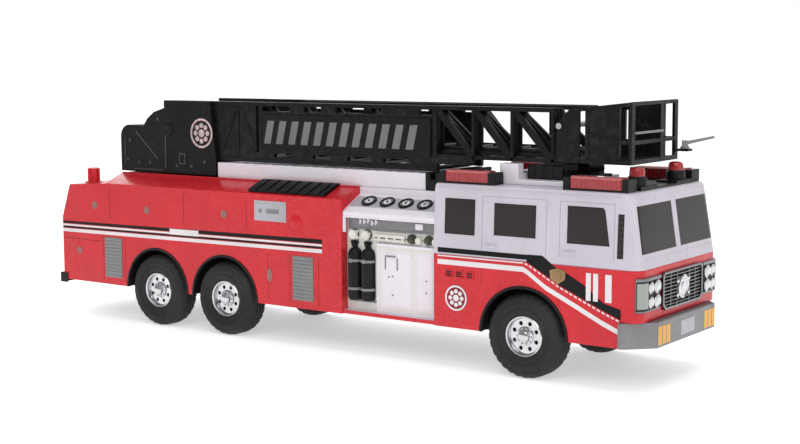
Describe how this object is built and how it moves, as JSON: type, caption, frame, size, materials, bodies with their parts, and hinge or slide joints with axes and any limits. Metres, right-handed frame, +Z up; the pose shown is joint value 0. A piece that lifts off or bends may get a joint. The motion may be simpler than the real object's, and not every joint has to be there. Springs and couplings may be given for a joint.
{
  "type": "toy fire engine",
  "caption": "Free-rolling toy fire engine with a turning turret, a raising and extending ladder, a self-levelling bucket, a water nozzle and a press-down pump.",
  "frame": {"origin": "on the ground, at the centre of the toy's length and width", "axes": "+X forwards to the nose, +Y to the toy's left, +Z up"},
  "size_m": [0.787, 0.178, 0.267],
  "materials": {
    "red_plastic": "gloss",
    "white_plastic": "gloss",
    "cream_plastic": "satin",
    "black_plastic": "satin",
    "ladder_plastic": "satin",
    "tyre": "matte",
    "chrome_plate": "polished",
    "steel": "brushed",
    "silver_plastic": "satin",
    "grey_plastic": "satin",
    "red_lens": "gloss",
    "dark_panes": "gloss",
    "lamp_plastic": "gloss",
    "tank_plastic": "satin",
    "cell_wrap": "gloss",
    "board": "satin"
  },
  "bodies": {
    "truck": {"rear_body": "red_plastic", "cab_lower": "red_plastic", "cab_upper": "white_plastic", "ladder_deck": "white_plastic", "pump_console": "white_plastic", "ladder_cradle": "white_plastic", "pump_panels": "cream_plastic", "chassis": "black_plastic", "battery_door": "black_plastic", "louvres": "black_plastic", "ladder_rest": "black_plastic", "roof_rack": "black_plastic", "light_bar_bases": "black_plastic", "air_cylinders": "black_plastic", "speaker": "black_plastic", "rear_bumper": "black_plastic", "turret_ring": "ladder_plastic", "grille": "chrome_plate", "chassis_screws": "steel", "front_bumper": "silver_plastic", "gauges": "silver_plastic", "shutters": "grey_plastic", "light_bar_lenses": "red_lens", "beacons": "red_lens", "windscreen": "dark_panes", "side_windows_right": "dark_panes", "side_windows_left": "dark_panes", "headlamps": "lamp_plastic", "water_tank": "tank_plastic", "batteries": "cell_wrap", "circuit_board": "board"},
    "front_axle_set": {"front_axle": "steel", "front_tyre_right": "tyre", "front_tyre_left": "tyre", "front_hubs": "chrome_plate"},
    "middle_axle_set": {"middle_axle": "steel", "middle_tyre_right": "tyre", "middle_tyre_left": "tyre", "middle_hubs": "chrome_plate"},
    "rear_axle_set": {"rear_axle": "steel", "rear_tyre_right": "tyre", "rear_tyre_left": "tyre", "rear_hubs": "chrome_plate"},
    "turret": {"turret_base": "ladder_plastic", "turret_washer": "ladder_plastic", "turret_cheek_right": "ladder_plastic", "turret_cheek_left": "ladder_plastic", "turret_hood": "ladder_plastic", "elevation_pin": "steel"},
    "ladder_base": {"ladder_base_section": "ladder_plastic", "name_plates": "grey_plastic"},
    "ladder_middle": {"ladder_middle_section": "ladder_plastic"},
    "ladder_tip": {"ladder_tip_section": "ladder_plastic", "bucket_pin": "steel"},
    "bucket": {"bucket_sides": "ladder_plastic", "bucket_floor": "ladder_plastic"},
    "swivel": {"nozzle_swivel": "grey_plastic"},
    "nozzle": {"nozzle_barrel": "grey_plastic"},
    "knob": {"pump_knob": "red_plastic", "pump_spring": "steel"}
  },
  "joints": [
    {"name": "front_axle_spin", "type": "hinge", "parent": "truck", "child": "front_axle_set", "pos_m": [0.262, 0, 0.0415], "axis": [0, 1, 0], "continuous": true},
    {"name": "middle_axle_spin", "type": "hinge", "parent": "truck", "child": "middle_axle_set", "pos_m": [-0.124, 0, 0.0415], "axis": [0, 1, 0], "continuous": true},
    {"name": "rear_axle_spin", "type": "hinge", "parent": "truck", "child": "rear_axle_set", "pos_m": [-0.229, 0, 0.0415], "axis": [0, 1, 0], "continuous": true},
    {"name": "turret_turn", "type": "hinge", "parent": "truck", "child": "turret", "pos_m": [-0.243, 0, 0.18], "axis": [0, 0, 1], "continuous": true},
    {"name": "ladder_raise", "type": "hinge", "parent": "turret", "child": "ladder_base", "pos_m": [-0.243, 0, 0.225], "axis": [0, -1, 0], "range_deg": [0, 50]},
    {"name": "middle_slide", "type": "slide", "parent": "ladder_base", "child": "ladder_middle", "axis": [1, 0, 0], "range_m": [0, 0.26]},
    {"name": "tip_slide", "type": "slide", "parent": "ladder_middle", "child": "ladder_tip", "axis": [1, 0, 0], "range_m": [0, 0.26]},
    {"name": "bucket_level", "type": "hinge", "parent": "ladder_tip", "child": "bucket", "pos_m": [0.28, 0, 0.243], "axis": [0, -1, 0], "range_deg": [-50, 0]},
    {"name": "nozzle_turn", "type": "hinge", "parent": "bucket", "child": "swivel", "pos_m": [0.364, 0.0515, 0.219], "axis": [0, 0, 1], "range_deg": [-60, 30]},
    {"name": "nozzle_tilt", "type": "hinge", "parent": "swivel", "child": "nozzle", "pos_m": [0.364, 0.0515, 0.22375], "axis": [0.5299, -0.848, 0], "range_deg": [-20, 50]},
    {"name": "pump_press", "type": "slide", "parent": "truck", "child": "knob", "axis": [0, 0, -1], "range_m": [0, 0.009], "stiffness_N_per_m": 250, "springref_m": -0.004, "deforming": ["pump_spring"]}
  ],
  "couplings": [
    {"joint": "bucket_level", "follows": "ladder_raise", "ratio": -1}
  ]
}
